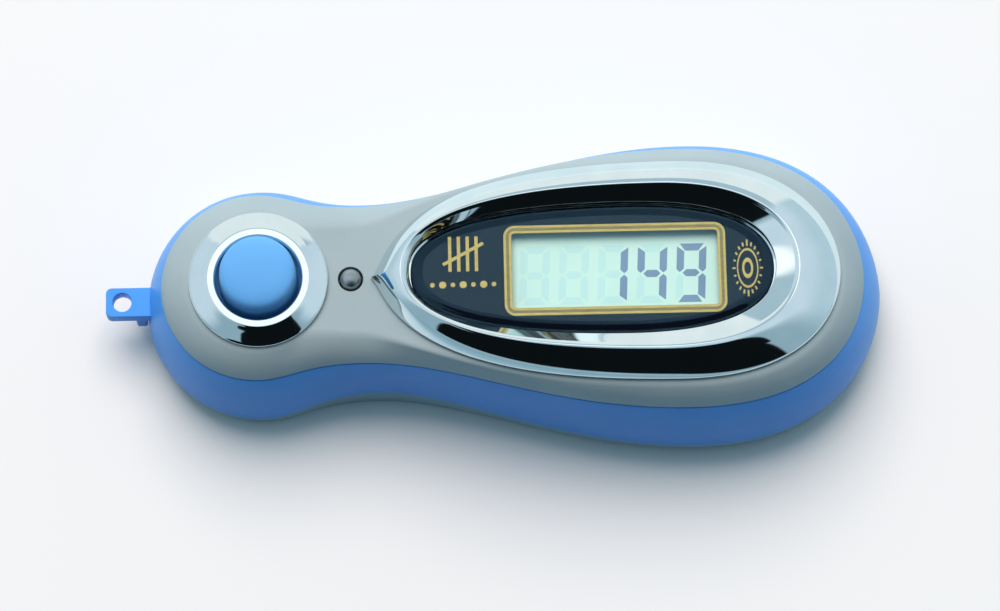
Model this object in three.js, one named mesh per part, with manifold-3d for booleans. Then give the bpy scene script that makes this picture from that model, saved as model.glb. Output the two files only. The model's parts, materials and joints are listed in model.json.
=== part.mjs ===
// A pocket electronic tally counter: a gourd-shaped plastic case with a display in its wide end,
// a count button in its narrow end and a small reset button on its neck.
// Millimetres. X runs from the lanyard tab to the display end, Y to the back, Z up.
// The origin is under the middle of the case, on the surface that it lies on.
import * as THREE from "three";
import { mergeVertices } from "three/addons/utils/BufferGeometryUtils.js";
import Module from "manifold-3d";

const wasm = await Module();
wasm.setup();

// ---------- driving dimensions ----------

// Plan outlines of the case: a round lobe, a waist and a wide display end, all mirrored about Y = 0.
// pulls are the lengths of the curve handles, in order along the outline from the lobe to the tip.
const SEAM = {
  lobeX: -30.2, lobeR: 12.3, turn: 80, neckX: -17.3, neckW: 10.4, bigX: 24.5, bigW: 17.2, tipX: 47.4,
  pulls: [3, 6.1, 12.3, 17.9, 19.5, 5.6],
};
const BAND = {
  lobeX: -29.9, lobeR: 14.9, turn: 76, neckX: -15.1, neckW: 12.3, bigX: 25.7, bigW: 19.8, tipX: 50,
  pulls: [2.4, 6, 10.7, 16.4, 20.7, 5.6],
};
const CROWN = {
  lobeX: -29.9, lobeR: 9.1, turn: 58, neckX: -17.2, neckW: 7.25, bigX: 24, bigW: 14.9, tipX: 44.5,
  pulls: [2, 3, 4, 27, 16.3, 6],
};
const BASE = {
  lobeX: -29.9, lobeR: 13.3, turn: 76, neckX: -15.1, neckW: 11.6, bigX: 25.7, bigW: 17.6, tipX: 48,
  pulls: [2.2, 5.4, 10.7, 16.4, 19.5, 5],
};
const LOBE_STEPS = 8;
const NECK_STEPS = 4;
const SIDE_STEPS = 9;
const TIP_STEPS = 8;

// Plan outlines of the display trim, each a drop with its small end towards the neck.
// pulls are the handle lengths: at the small end (X, Y), before and after the widest place, at the tip.
const TRIM_FOOT = { startX: -15.6, wideX: 23.4, wideW: 14.4, tipX: 44.1, pulls: [2.3, 2.2, 37, 16, 5.8] };
const TRIM_RIDGE = { startX: -11.7, wideX: 21, wideW: 10.6, tipX: 38.5, pulls: [0, 5.6, 25, 12, 6] };
const LENS = { startX: -10.6, wideX: 17.2, wideW: 8.55, tipX: 35.6, pulls: [0, 2.6, 27, 14.4, 4.4] };
const DROP_STEPS = [12, 10];

const WALL = 1.5;
const FLOOR = 1.5;
const CROWN_RISE = 3.3;
const TRIM_RISE = 3.1;
const SEAM_GAP = 0.1;
const REST_GAP = 0.05;

// Count button in the small lobe and reset button on the neck.
const COUNT_X = -29.9;
const COUNT_TRAVEL = 0.75;
const RESET_X = -18.2;
const RESET_TRAVEL = 0.4;

// Circuit board and display stack.
const BOARD_Z = 10.4;
const BOARD_THICK = 1;
const BOARD_TOP = BOARD_Z + BOARD_THICK;
const DISPLAY_X = 15.4;
const DISPLAY_GLASS = [30.6, 13.4];
const LENS_BOTTOM = 17.9;
const LENS_THICK = 1.15;

// Button cell under the board, reached through a round cap in the floor.
const CELL_X = 20;
const CELL_R = 5.8;
const CELL_TALL = 5.4;
const CAP_TURN = 50;
const CAP = { hubR: 6.6, lugR: 7.9, discR: 8.3, low: 0.2, step: 0.85, lugZ: 1.6, top: 2.2, lugDeg: 20 };
const RUN = 0.2;
const WELL_R = 8.4;

const CASE_SCREWS = [[-13.5, -6.8], [-13.5, 6.8], [38.5, -8.6], [38.5, 8.6]];
const BOARD_SCREWS = [[7, -10.9], [7, 10.9], [29.5, -10.6], [29.5, 10.6]];

// Lanyard tab at the small end.
const TAB_WIDE = 3.95;
const TAB_THICK = 2;
const TAB_TOP = 7.65;
const TAB_HOLE_X = -47.9;
const TAB_HOLE_R = 1.2;

const { degToRad, lerp, smoothstep } = THREE.MathUtils;

// ---------- heights that vary along the case ----------

// The seam between the grey cover and the blue band dips round the lobe and towards the display end.
function seamZ(x) {
  const towardsLobe = smoothstep(-x, 6, 24);
  const towardsTip = Math.max(0, (x - 18) / 28) ** 2;
  return 14.05 - 0.75 * towardsLobe - 1.6 * towardsTip;
}

// The cover's flat top follows the seam and dips a little more at the waist.
function crownZ(x) {
  return seamZ(x) + CROWN_RISE - 0.65 * Math.exp(-(((x + 16.5) / 4.5) ** 2));
}

// The band's lower edge: low round the lobe, high at the waist.
function bandEdgeZ(x) {
  return 4.4 + 1.3 * Math.exp(-(((x + 13) / 10) ** 2)) - 0.9 * smoothstep(-x, 22, 32);
}

// ---------- outlines ----------

// Half of a case outline, from the lobe's end round the back to the display end's tip.
function caseHalf(plan) {
  const turn = degToRad(plan.turn);
  const [a, b, c, d, e, f] = plan.pulls;
  const point = (x, y) => new THREE.Vector2(x, y);
  const leave = point(plan.lobeX + plan.lobeR * Math.cos(turn), plan.lobeR * Math.sin(turn));
  const along = point(Math.sin(turn), -Math.cos(turn));
  const neck = point(plan.neckX, plan.neckW);
  const wide = point(plan.bigX, plan.bigW);
  const tip = point(plan.tipX, 0);
  const lobe = new THREE.EllipseCurve(plan.lobeX, 0, plan.lobeR, plan.lobeR, Math.PI, turn, true);
  const toNeck = new THREE.CubicBezierCurve(
    leave, leave.clone().addScaledVector(along, a), point(neck.x - b, neck.y), neck);
  const toWide = new THREE.CubicBezierCurve(neck, point(neck.x + c, neck.y), point(wide.x - d, wide.y), wide);
  const toTip = new THREE.CubicBezierCurve(wide, point(wide.x + e, wide.y), point(tip.x, f), tip);
  return chain([[lobe, LOBE_STEPS], [toNeck, NECK_STEPS], [toWide, SIDE_STEPS], [toTip, TIP_STEPS]]);
}

// Half of a display-trim outline, from its small end to its tip.
function dropHalf(plan) {
  const [dx, dy, before, after, end] = plan.pulls;
  const point = (x, y) => new THREE.Vector2(x, y);
  const wide = point(plan.wideX, plan.wideW);
  const toWide = new THREE.CubicBezierCurve(
    point(plan.startX, 0), point(plan.startX + dx, dy), point(wide.x - before, wide.y), wide);
  const toTip = new THREE.CubicBezierCurve(
    wide, point(wide.x + after, wide.y), point(plan.tipX, end), point(plan.tipX, 0));
  return chain([[toWide, DROP_STEPS[0]], [toTip, DROP_STEPS[1]]]);
}

// Points of curves laid end to end, with each shared point once and both ends on Y = 0.
function chain(curves) {
  const points = curves.flatMap(([curve, steps], i) => curve.getPoints(steps).slice(i ? 1 : 0));
  points[0].y = 0;
  points[points.length - 1].y = 0;
  return points;
}

// The same half outline moved outwards along its normals, or inwards for a negative distance.
function offset(half, distance) {
  const mirror = (p) => new THREE.Vector2(p.x, -p.y);
  const last = half.length - 1;
  return half.map((p, i) => {
    const before = i ? half[i - 1] : mirror(half[1]);
    const after = i < last ? half[i + 1] : mirror(half[last - 1]);
    const along = after.clone().sub(before).normalize();
    return new THREE.Vector2(p.x - along.y * distance, Math.max(0, p.y + along.x * distance));
  });
}

function between(halfA, halfB, share) {
  return halfA.map((p, i) => p.clone().lerp(halfB[i], share));
}

// A closed ring of 3-D points from a half outline; z is a number or a function of x.
function ring(half, z) {
  const height = typeof z === "function" ? z : () => z;
  const front = half.map((p) => new THREE.Vector3(p.x, -p.y, height(p.x)));
  const back = half.slice(1, -1).reverse().map((p) => new THREE.Vector3(p.x, p.y, height(p.x)));
  return [...front, ...back];
}

// ---------- solids ----------

// A manifold solid from a closed three.js geometry.
function solid(geometry) {
  const bare = geometry.clone();
  bare.deleteAttribute("normal");
  bare.deleteAttribute("uv");
  const merged = mergeVertices(bare, 1e-4);
  const index = Array.from(merged.index.array);
  const triVerts = [];
  for (let i = 0; i < index.length; i += 3) {
    const [a, b, c] = index.slice(i, i + 3);
    if (a !== b && b !== c && a !== c) triVerts.push(a, b, c);
  }
  return new wasm.Manifold(new wasm.Mesh({
    numProp: 3,
    vertProperties: new Float32Array(merged.attributes.position.array),
    triVerts: new Uint32Array(triVerts),
  }));
}

// A skin over stacked rings of equal length. Open stacks are closed by flat strips across each end;
// a looped stack joins its last ring to its first and makes a hoop.
function loft(rings, looped = false) {
  const count = rings[0].length;
  const half = count / 2;
  const triangles = [];
  const spans = looped ? rings.length : rings.length - 1;
  for (let r = 0; r < spans; r++) {
    const low = r * count;
    const high = ((r + 1) % rings.length) * count;
    for (let i = 0; i < count; i++) {
      const j = (i + 1) % count;
      triangles.push(low + i, low + j, high + j, low + i, high + j, high + i);
    }
  }
  const strip = (start, up) => {
    for (let i = 0; i < half; i++) {
      const [a, b] = [start + i, start + i + 1];
      const [c, d] = [start + ((count - i - 1) % count), start + ((count - i) % count)];
      const pair = [[a, b, c], [a, c, d]];
      pair.forEach(([p, q, s]) => triangles.push(...(up ? [p, q, s] : [p, s, q])));
    }
  };
  if (!looped) {
    strip(0, false);
    strip((rings.length - 1) * count, true);
  }
  const geometry = new THREE.BufferGeometry().setFromPoints(rings.flat());
  geometry.setIndex(triangles);
  return solid(geometry);
}

// A turned solid about Z from (radius, height) points, listed anticlockwise round its section.
function turned(points, x = 0, y = 0, segments = 32) {
  const profile = points.map(([r, z]) => new THREE.Vector2(r, z));
  return solid(new THREE.LatheGeometry(profile, segments).rotateX(Math.PI / 2).translate(x, y, 0));
}

function rod(x, y, radius, low, high, segments = 24) {
  return turned([[0, low], [radius, low], [radius, high], [0, high]], x, y, segments);
}

function block(low, high) {
  const size = high.map((v, i) => v - low[i]);
  const middle = high.map((v, i) => (v + low[i]) / 2);
  return solid(new THREE.BoxGeometry(...size).translate(...middle));
}

function roundedPlan(wide, deep, radius, x = 0, y = 0) {
  const [w, d] = [wide / 2, deep / 2];
  const shape = new THREE.Shape();
  const corners = [[w, -d, -90], [w, d, 0], [-w, d, 90], [-w, -d, 180]];
  corners.forEach(([cx, cy, start]) => {
    const centre = [x + cx - Math.sign(cx) * radius, y + cy - Math.sign(cy) * radius];
    shape.absarc(...centre, radius, degToRad(start), degToRad(start + 90), false);
  });
  return shape;
}

function raised(shape, low, high, curveSegments = 4) {
  const plan = { depth: high - low, bevelEnabled: false, curveSegments };
  return solid(new THREE.ExtrudeGeometry(shape, plan).translate(0, 0, low));
}

// A strip of bent sheet metal: a centre line in the XZ plane, given a thickness and a width along Y.
function bentStrip(line, thick, wide, y = 0) {
  const points = line.map(([x, z]) => new THREE.Vector2(x, z));
  const side = (sign) => points.map((p, i) => {
    const before = points[Math.max(0, i - 1)];
    const after = points[Math.min(points.length - 1, i + 1)];
    const along = after.clone().sub(before).normalize();
    return new THREE.Vector2(p.x - (sign * along.y * thick) / 2, p.y + (sign * along.x * thick) / 2);
  });
  const shape = new THREE.Shape([...side(-1), ...side(1).reverse()]);
  const plan = { depth: wide, bevelEnabled: false };
  const geometry = new THREE.ExtrudeGeometry(shape, plan).rotateX(Math.PI / 2).translate(0, y + wide / 2, 0);
  return solid(geometry);
}

const joined = (solids) => solids.reduce((all, next) => all.add(next));
const less = (whole, cutters) => cutters.reduce((rest, cutter) => rest.subtract(cutter), whole);

// ---------- case ----------

// Share of the way from the seam outline to the crown outline, and of the height, along the shoulder.
const SHOULDER = new THREE.QuadraticBezierCurve(
  new THREE.Vector2(0, 0), new THREE.Vector2(0.22, 0.6), new THREE.Vector2(1, 1));

function shoulderRings(seam, crown, drop, steps) {
  return SHOULDER.getPoints(steps).map(({ x: share, y: rise }) =>
    ring(between(seam, crown, share), (x) => lerp(seamZ(x), crownZ(x), rise) - drop * rise));
}

function topShell() {
  const seam = caseHalf(SEAM);
  const crown = caseHalf(CROWN);
  const outside = loft(shoulderRings(seam, crown, 0, 5));
  const innerSeam = offset(seam, -WALL);
  const innerCrown = offset(crown, -0.8);
  const skirt = ring(innerSeam, (x) => seamZ(x) - 1);
  const inside = loft([skirt, ...shoulderRings(innerSeam, innerCrown, WALL + REST_GAP, 3)]);
  const caseBosses = CASE_SCREWS.map(([x, y]) => rod(x, y, 2.1, 5.3, x < 0 ? 14.6 : 15.2, 12));
  const boardBosses = BOARD_SCREWS.map(([x, y]) => rod(x, y, 1.6, BOARD_TOP + REST_GAP, 16, 12));
  const shell = joined([outside.subtract(inside), ...caseBosses, ...boardBosses]);
  return less(shell, [
    rod(COUNT_X, 0, 6.4, 10, 20, 32),
    rod(RESET_X, 0, 1.6, 10, 20, 16),
    raised(roundedPlan(33.6, 16.2, 1, DISPLAY_X), 13, 20),
    ...CASE_SCREWS.map(([x, y]) => rod(x, y, 1, 5, 11, 8)),
    ...BOARD_SCREWS.map(([x, y]) => rod(x, y, 0.78, 11, 15, 8)),
  ]);
}

// Share of the way from the seam outline to the band outline, against depth below the seam.
const FLANK = new THREE.QuadraticBezierCurve(
  new THREE.Vector2(0, 0), new THREE.Vector2(0.9, 0.45), new THREE.Vector2(1, 1));

function sideBand() {
  const seam = caseHalf(SEAM);
  const band = caseHalf(BAND);
  const depthZ = (depth) => (x) => lerp(seamZ(x) - SEAM_GAP, bandEdgeZ(x), depth);
  const flank = FLANK.getPoints(5).slice(0, -1)
    .map(({ x: share, y: depth }) => ring(between(seam, band, share), depthZ(depth)));
  const rings = [
    ring(offset(band, -1.9), depthZ(1)),
    ring(offset(band, -0.2), depthZ(1)),
    ring(band, depthZ(0.95)),
    ...flank.reverse(),
    ring(offset(seam, -1.3), depthZ(0)),
  ];
  const tabSlot = block([-47, -TAB_WIDE / 2 - 0.15, TAB_TOP - TAB_THICK - 0.15],
    [-40, TAB_WIDE / 2 + 0.15, TAB_TOP + 0.15]);
  return loft(rings, true).subtract(tabSlot);
}

// Three sectors about the cap's axis: its lugs, or the notches of the floor that they pass through.
function capSectors(radius, wideDeg, low, high, turnDeg) {
  return [90, 210, 330].map((lug) => {
    const [start, end] = [lug + turnDeg - wideDeg / 2, lug + turnDeg + wideDeg / 2].map(degToRad);
    const shape = new THREE.Shape().moveTo(CELL_X, 0);
    shape.lineTo(CELL_X + radius * Math.cos(start), radius * Math.sin(start));
    shape.absarc(CELL_X, 0, radius, start, end, false);
    return raised(shape, low, high, 5);
  });
}

function bottomShell() {
  const base = caseHalf(BASE);
  const rim = offset(caseHalf(BAND), -0.2);
  const rimZ = (x) => bandEdgeZ(x) - SEAM_GAP;
  const levels = [[0, 0], [0.45, 0.06], [0.75, 0.2], [0.93, 0.5], [1, 1]];
  const outside = loft(levels.map(([share, rise]) => ring(between(base, rim, share), (x) => rise * rimZ(x))));
  const inside = loft([
    ring(offset(base, -WALL), FLOOR),
    ring(offset(between(base, rim, 0.8), -WALL), FLOOR + 0.9),
    ring(offset(rim, -WALL), (x) => rimZ(x) + 1),
  ]);
  const [wellIn, wellOut, wellLow, wellTop] = [WELL_R, WELL_R + 1, FLOOR - 0.3, 7.2];
  const well = turned(
    [[wellIn, wellLow], [wellOut, wellLow], [wellOut, wellTop], [wellIn, wellTop], [wellIn, wellLow]],
    CELL_X, 0, 32);
  const bosses = CASE_SCREWS.map(([x, y]) => rod(x, y, 2.5, 1.2, 5.2, 12));
  const shell = joined([outside.subtract(inside), well, ...bosses]);
  return less(shell, [
    ...CASE_SCREWS.flatMap(([x, y]) => [rod(x, y, 2.1, -1, 2.05, 16), rod(x, y, 1.15, 1, 6, 8)]),
    rod(CELL_X, 0, CAP.discR + RUN, -1, CAP.step + 0.1, 40),
    rod(CELL_X, 0, CAP.hubR + RUN, -1, 3, 40),
    ...capSectors(CAP.lugR + RUN, CAP.lugDeg + 6, CAP.step, 3, -CAP_TURN),
  ]);
}

function lanyardTab() {
  const tabBottom = TAB_TOP - TAB_THICK;
  const plate = raised(roundedPlan(8.8, TAB_WIDE, 0.7, -45.6), tabBottom, TAB_TOP);
  const flange = block([-41.5, -2.7, 5.2], [-40.8, 2.7, 8.1]);
  const gusset = block([-46.3, -1.85, 2.5], [-44.95, 1.85, tabBottom + 0.2]);
  return joined([plate, flange, gusset]).subtract(rod(TAB_HOLE_X, 0, TAB_HOLE_R, 0, 10, 20));
}

// ---------- display trim and lens ----------

function displayBezel() {
  const foot = dropHalf(TRIM_FOOT);
  const ridge = dropHalf(TRIM_RIDGE);
  const lens = dropHalf(LENS);
  const under = (x) => crownZ(x) + SEAM_GAP;
  const top = (x) => crownZ(x) + TRIM_RISE;
  const pocket = offset(lens, 0.15);
  const ledge = offset(lens, -0.9);
  return loft([
    ring(offset(foot, -1.4), under),
    ring(foot, under),
    ring(offset(foot, -0.08), (x) => under(x) + 0.45),
    ring(between(foot, ridge, 0.3), (x) => lerp(under(x) + 0.45, top(x), 0.48)),
    ring(between(foot, ridge, 0.65), (x) => lerp(under(x) + 0.45, top(x), 0.83)),
    ring(between(foot, ridge, 0.92), (x) => top(x) - 0.05),
    ring(offset(ridge, -0.35), (x) => top(x) - 0.1),
    ring(pocket, LENS_BOTTOM + LENS_THICK + 0.1),
    ring(pocket, LENS_BOTTOM - 0.15),
    ring(ledge, LENS_BOTTOM - 0.15),
    ring(ledge, under),
    ring(offset(lens, 0.9), under),
    ring(between(foot, ridge, 0.9), (x) => top(x) - 1.5),
  ], true);
}

function displayLens() {
  const lens = dropHalf(LENS);
  const top = LENS_BOTTOM + LENS_THICK;
  return loft([ring(lens, LENS_BOTTOM), ring(lens, top - 0.25), ring(offset(lens, -0.25), top)]);
}

function lensAdhesive() {
  const lens = dropHalf(LENS);
  const [low, high] = [LENS_BOTTOM - 0.13, LENS_BOTTOM - 0.02];
  const [outer, inner] = [offset(lens, -0.05), offset(lens, -0.8)];
  return loft([ring(inner, low), ring(outer, low), ring(outer, high), ring(inner, high)], true);
}

// ---------- display ----------

function plate(wide, deep, low, high) {
  return block([DISPLAY_X - wide / 2, -deep / 2, low], [DISPLAY_X + wide / 2, deep / 2, high]);
}

function displayPanel() {
  const [wide, deep] = DISPLAY_GLASS;
  return joined([plate(wide, deep - 3, 15, 15.85), plate(wide, deep, 15.85, 16.7)]);
}

function displayHolder() {
  const [wide, deep] = DISPLAY_GLASS;
  return less(plate(33, 15.6, BOARD_TOP + REST_GAP, 16.98), [
    plate(wide + 0.3, deep + 0.3, 11, 16.73),
    plate(27.6, 11.2, 16, 18),
  ]);
}

function zebraStrip(y) {
  return block([DISPLAY_X - 14, y - 0.55, BOARD_TOP + REST_GAP], [DISPLAY_X + 14, y + 0.55, 15.8]);
}

// ---------- circuit board and what it carries ----------

function circuitBoard() {
  const shape = new THREE.Shape();
  const turn = degToRad(33);
  shape.absarc(COUNT_X, 0, 8.1, turn, 2 * Math.PI - turn, false);
  shape.lineTo(-8, -8.1 * Math.sin(turn));
  shape.bezierCurveTo(-3, -4.4, -3, -13, 3, -13);
  shape.lineTo(31, -13);
  shape.absarc(31, -9, 4, -Math.PI / 2, 0, false);
  shape.absarc(31, 9, 4, 0, Math.PI / 2, false);
  shape.lineTo(3, 13);
  shape.bezierCurveTo(-3, 13, -3, 4.4, -8, 8.1 * Math.sin(turn));
  const holes = BOARD_SCREWS.map(([x, y]) => rod(x, y, 0.95, 9, 13, 10));
  return less(raised(shape, BOARD_Z, BOARD_TOP, 10), holes);
}

function chipBlob() {
  const low = BOARD_Z - REST_GAP;
  const dome = new THREE.EllipseCurve(0, low, 4, 1.2, -Math.PI / 2, 0, false).getPoints(4);
  dome[0].x = 0;
  return turned([...dome.map((p) => [p.x, p.y]), [0, low]], -1, 0, 16);
}

function underBoard(x, y, wide, deep, tall) {
  const top = BOARD_Z - REST_GAP;
  return block([x - wide / 2, y - deep / 2, top - tall], [x + wide / 2, y + deep / 2, top]);
}

// A push switch on the board: a square base with a round pit, a metal cover, a snap dome and a plunger.
const COUNT_SWITCH = { x: COUNT_X, wide: 6, baseTall: 1.55, pitR: 2.5, plungerR: 1.65, plungerTop: 14.2 };
const RESET_SWITCH = { x: RESET_X, wide: 4, baseTall: 1, pitR: 1.6, plungerR: 0.9, plungerTop: 13.1 };

const switchBottom = BOARD_TOP + REST_GAP;
const switchTop = (s) => switchBottom + s.baseTall;

function switchBase(s) {
  const half = s.wide / 2;
  const body = block([s.x - half, -half, switchBottom], [s.x + half, half, switchTop(s)]);
  return body.subtract(rod(s.x, 0, s.pitR, switchBottom + 0.3, 20, 20));
}

function switchCover(s) {
  const half = s.wide / 2;
  const low = switchTop(s) + REST_GAP;
  const sheet = block([s.x - half, -half, low], [s.x + half, half, low + 0.22]);
  return sheet.subtract(rod(s.x, 0, s.plungerR + 0.15, 10, 20, 20));
}

function switchPlunger(s, travel) {
  const low = switchBottom + 0.35 + travel;
  const shelf = switchTop(s) - 0.05;
  const flangeR = s.pitR - 0.2;
  return turned([
    [0, low], [flangeR, low], [flangeR, shelf], [s.plungerR, shelf], [s.plungerR, s.plungerTop],
    [0, s.plungerTop],
  ], s.x, 0, 20);
}

function switchDome(s, travel) {
  const low = switchBottom + 0.33;
  const [radius, rise, thick] = [s.pitR - 0.25, travel - 0.2, 0.1];
  const outer = new THREE.QuadraticBezierCurve(
    new THREE.Vector2(radius, low), new THREE.Vector2(radius * 0.6, low + rise + thick),
    new THREE.Vector2(0, low + rise + thick)).getPoints(3);
  const inner = outer.map((p) => [p.x * 0.93, Math.max(low, p.y - thick)]).reverse();
  return turned([...inner.slice(0, -1), [radius * 0.93, low], ...outer.map((p) => [p.x, p.y])], s.x, 0, 16);
}

// ---------- buttons ----------

function countButton() {
  return turned([
    [0, 14.25], [1.6, 14.25], [1.6, 19.8], [3.9, 19.8], [3.9, 14.3], [6.1, 14.3], [6.1, 14.9],
    [5, 14.9], [4.92, 19], [4.87, 20.1], [4.7, 20.55], [4.3, 20.82], [3, 21.05], [1.5, 21.13], [0, 21.15],
  ], COUNT_X, 0, 32);
}

function resetButton() {
  return turned([
    [0, 13.15], [0.9, 13.15], [0.9, 13.8], [2.3, 13.8], [2.3, 14.5], [1.35, 14.5], [1.35, 16.2],
    [1.22, 16.6], [0.85, 16.9], [0.4, 17.02], [0, 17.05],
  ], RESET_X, 0, 16);
}

function buttonRing() {
  return turned([
    [5.4, 15.2], [6.2, 15.2], [6.2, 16.7], [8.6, 16.7], [8.87, 16.85], [8.87, 17.03], [8.65, 17.18],
    [7.9, 17.43], [7.1, 17.67], [6.35, 17.87], [6.05, 17.93], [5.7, 17.93], [5.5, 17.86], [5.4, 17.7],
    [5.4, 15.2],
  ], COUNT_X, 0, 40);
}

// ---------- power ----------

function cell() {
  const low = 2.25;
  const top = low + CELL_TALL;
  return turned([
    [0, low], [CELL_R - 0.4, low], [CELL_R, low + 0.4], [CELL_R, top - 0.6], [CELL_R - 0.3, top - 0.3],
    [4.9, top - 0.3], [4.7, top], [0, top],
  ], CELL_X, 0, 32);
}

function positiveContact() {
  const side = CELL_X - CELL_R - 0.25;
  return bentStrip([[9.6, 10.2], [side - 0.4, 10.2], [side, 9.8], [side, 3.2]], 0.25, 3);
}

function negativeContact() {
  return bentStrip([[29.2, 10.2], [25, 10.2], [20.6, 8], [19.6, 7.9], [18.2, 8.5]], 0.25, 3);
}

function batteryCap() {
  const { hubR, lugR, discR, low, step, lugZ, top, lugDeg } = CAP;
  const disc = turned([
    [0, low], [discR - 0.3, low], [discR, low + 0.2], [discR, step], [hubR, step], [hubR, top], [0, top],
  ], CELL_X, 0, 40);
  const coinSlot = block([CELL_X - 5.5, -0.9, -1], [CELL_X + 5.5, 0.9, low + 0.9]);
  return joined([disc, ...capSectors(lugR, lugDeg, lugZ, top, 0)]).subtract(coinSlot);
}

// ---------- fasteners ----------

// A self-tapping screw, head down, with a cross recess.
function screw([x, y], headR, shankR, headLow, headTall, tip) {
  const seat = headLow + headTall;
  const body = turned([
    [0, headLow], [headR * 0.8, headLow], [headR, headLow + headTall * 0.4], [headR, seat],
    [shankR, seat], [shankR, tip - shankR], [0, tip],
  ], x, y, 12);
  const [arm, slim] = [headR * 0.55, headR * 0.14];
  const deep = headLow + headTall * 0.6;
  return less(body, [
    block([x - arm, y - slim, -1], [x + arm, y + slim, deep]),
    block([x - slim, y - arm, -1], [x + slim, y + arm, deep]),
  ]);
}

// ---------- materials ----------

const finish = (color, roughness, metalness = 0) =>
  new THREE.MeshStandardMaterial({ color, roughness, metalness });

const GREY_PLASTIC = finish(0xa9b0b4, 0.45);
const BLUE_PLASTIC = finish(0x4b8ad2, 0.4);
const BUTTON_BLUE = finish(0x64a5f0, 0.38);
const CHROME = finish(0xd6dfe2, 0.06, 1);
const GUNMETAL = finish(0x4a4f52, 0.2, 0.6);
const SMOKED_PRINT = finish(0x262f3c, 0.1);
const CLEAR_TAPE = finish(0xe8e8e0, 0.6);
const DISPLAY_GREEN = finish(0xc6ede2, 0.2);
const HOLDER_WHITE = finish(0xe9e9e4, 0.5);
const BLACK_RUBBER = finish(0x1b1b1d, 0.8);
const BOARD_GREEN = finish(0x1d5b35, 0.5);
const EPOXY_BLACK = finish(0x101012, 0.35);
const CERAMIC_TAN = finish(0xb79a6d, 0.6);
const SWITCH_BLACK = finish(0x202022, 0.5);
const SHEET_STEEL = finish(0xb9bdc0, 0.3, 1);
const SCREW_STEEL = finish(0x8f9498, 0.35, 1);

// ---------- assembly ----------

const counter = new THREE.Group();

function place(name, made, material) {
  const { numProp, vertProperties, triVerts } = made.getMesh();
  const geometry = new THREE.BufferGeometry();
  geometry.setAttribute("position", new THREE.BufferAttribute(new Float32Array(vertProperties), numProp));
  geometry.setIndex(new THREE.BufferAttribute(new Uint32Array(triVerts), 1));
  geometry.computeVertexNormals();
  const mesh = new THREE.Mesh(geometry, material);
  mesh.name = name;
  counter.add(mesh);
}

place("top_shell", topShell(), GREY_PLASTIC);
place("side_band", sideBand(), BLUE_PLASTIC);
place("bottom_shell", bottomShell(), GREY_PLASTIC);
place("lanyard_tab", lanyardTab(), BLUE_PLASTIC);
place("display_bezel", displayBezel(), CHROME);
place("display_lens", displayLens(), SMOKED_PRINT);
place("lens_adhesive", lensAdhesive(), CLEAR_TAPE);
place("display_panel", displayPanel(), DISPLAY_GREEN);
place("display_holder", displayHolder(), HOLDER_WHITE);
place("zebra_strip_front", zebraStrip(-6), BLACK_RUBBER);
place("zebra_strip_rear", zebraStrip(6), BLACK_RUBBER);
place("circuit_board", circuitBoard(), BOARD_GREEN);
place("chip_blob", chipBlob(), EPOXY_BLACK);
place("chip_resistor", underBoard(-1, 7.5, 2, 1.25, 0.5), EPOXY_BLACK);
place("chip_capacitor", underBoard(4, 6, 1.25, 2, 0.9), CERAMIC_TAN);
place("button_ring", buttonRing(), CHROME);
place("count_button", countButton(), BUTTON_BLUE);
place("reset_button", resetButton(), GUNMETAL);

const SWITCHES = { count: [COUNT_SWITCH, COUNT_TRAVEL], reset: [RESET_SWITCH, RESET_TRAVEL] };
for (const [label, [size, travel]] of Object.entries(SWITCHES)) {
  place(`${label}_switch_base`, switchBase(size), SWITCH_BLACK);
  place(`${label}_switch_cover`, switchCover(size), SHEET_STEEL);
  place(`${label}_switch_dome`, switchDome(size, travel), SHEET_STEEL);
  place(`${label}_switch_plunger`, switchPlunger(size, travel), SWITCH_BLACK);
}

place("button_cell", cell(), SHEET_STEEL);
place("cell_contact_positive", positiveContact(), SHEET_STEEL);
place("cell_contact_negative", negativeContact(), SHEET_STEEL);
place("battery_cap", batteryCap(), GREY_PLASTIC);
CASE_SCREWS.forEach((at, i) => place(`case_screw_${i + 1}`, screw(at, 1.9, 0.93, 0.7, 1.3, 10), SCREW_STEEL));
BOARD_SCREWS.forEach((at, i) => place(`board_screw_${i + 1}`, screw(at, 1.5, 0.7, 9.3, 1.05, 14.6), SCREW_STEEL));

export default counter;
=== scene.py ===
import json
import math

import bpy
import numpy as np
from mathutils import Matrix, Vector
from mathutils.geometry import delaunay_2d_cdt


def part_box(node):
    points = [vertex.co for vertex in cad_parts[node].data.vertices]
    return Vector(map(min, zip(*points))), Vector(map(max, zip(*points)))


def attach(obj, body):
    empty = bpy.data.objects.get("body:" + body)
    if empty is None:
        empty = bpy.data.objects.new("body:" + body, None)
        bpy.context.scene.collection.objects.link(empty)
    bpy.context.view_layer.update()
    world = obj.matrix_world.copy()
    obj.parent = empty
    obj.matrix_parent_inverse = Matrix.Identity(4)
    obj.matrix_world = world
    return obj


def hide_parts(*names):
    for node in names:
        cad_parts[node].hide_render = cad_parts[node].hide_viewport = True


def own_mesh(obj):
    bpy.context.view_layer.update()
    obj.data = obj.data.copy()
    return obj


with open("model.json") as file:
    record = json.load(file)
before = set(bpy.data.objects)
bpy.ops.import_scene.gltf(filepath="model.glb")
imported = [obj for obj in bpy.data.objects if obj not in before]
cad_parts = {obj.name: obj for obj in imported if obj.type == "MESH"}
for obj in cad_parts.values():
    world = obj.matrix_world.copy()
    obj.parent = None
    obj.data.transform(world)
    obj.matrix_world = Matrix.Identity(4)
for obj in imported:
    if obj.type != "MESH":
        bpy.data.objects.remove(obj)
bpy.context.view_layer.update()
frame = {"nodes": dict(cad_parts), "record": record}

# The looks of a pocket tally counter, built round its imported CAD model.
# Shapes are worked out in millimetres in the model's own frame and stored in metres.
MM = 0.001


def cad(node):
    """Lowest and highest corner of a CAD node, in millimetres."""
    low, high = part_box(node)
    return np.array(low) / MM, np.array(high) / MM


# ---------- driving dimensions ----------

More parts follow.
